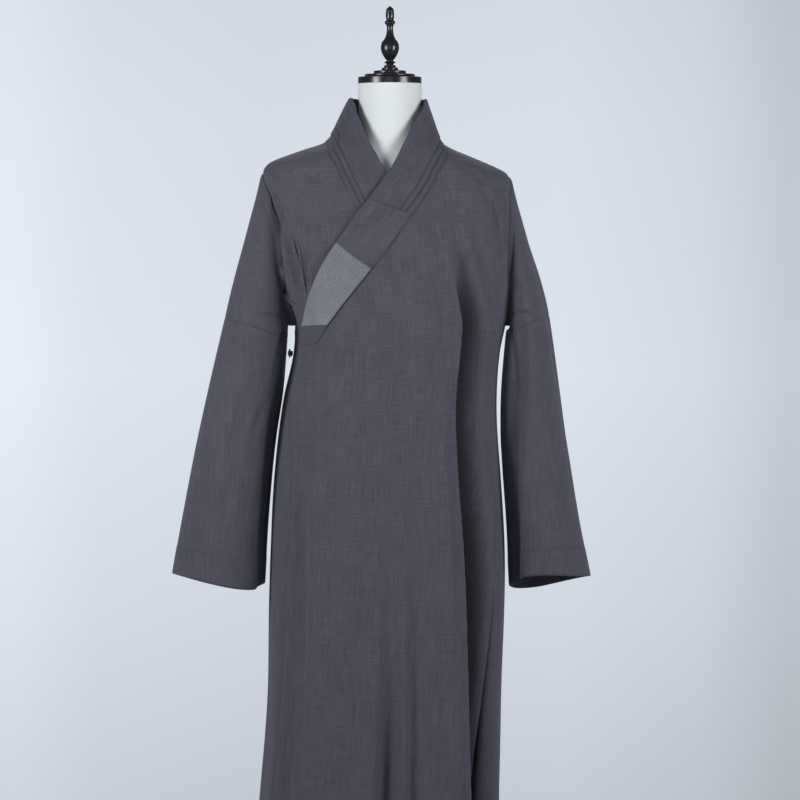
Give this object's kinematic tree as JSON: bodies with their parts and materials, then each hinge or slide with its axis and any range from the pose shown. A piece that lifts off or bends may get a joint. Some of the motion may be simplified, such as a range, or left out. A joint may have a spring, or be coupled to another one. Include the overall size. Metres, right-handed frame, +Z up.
{
  "type": "buddhist monk robe on dress form",
  "caption": "Long crossed-collar robe with wide sleeves and a stitched lapel patch, worn by a limbless dress form on a round stand.",
  "frame": {"origin": "centre of the stand's base, on its underside", "axes": "+Z up along the pole; the robe's front faces -Y; +X is the wearer's left"},
  "size_m": [0.7314, 0.35, 1.642],
  "materials": {
    "robe_cloth": "fine plain weave with short slubs, charcoal grey, dull with a slight sheen",
    "patch_cloth": "charcoal cloth under close rows of light grey running stitches",
    "form_cover": "smooth matte white stretch cover",
    "black_lacquer": "glossy black lacquered turned wood",
    "stand_steel": "satin black powder coat"
  },
  "bodies": {
    "root": {"front_over": "robe_cloth", "front_under": "robe_cloth", "back": "robe_cloth", "sleeve_left_upper": "robe_cloth", "sleeve_left_extension": "robe_cloth", "sleeve_right_upper": "robe_cloth", "sleeve_right_extension": "robe_cloth", "collar": "robe_cloth", "collar_guard": "robe_cloth", "stitched_patch": "patch_cloth", "knot_button": "robe_cloth", "button_loop": "robe_cloth", "form_torso": "form_cover", "neck_cap": "black_lacquer", "finial": "black_lacquer", "form_socket": "stand_steel", "pole": "stand_steel", "base": "stand_steel"}
  },
  "joints": []
}
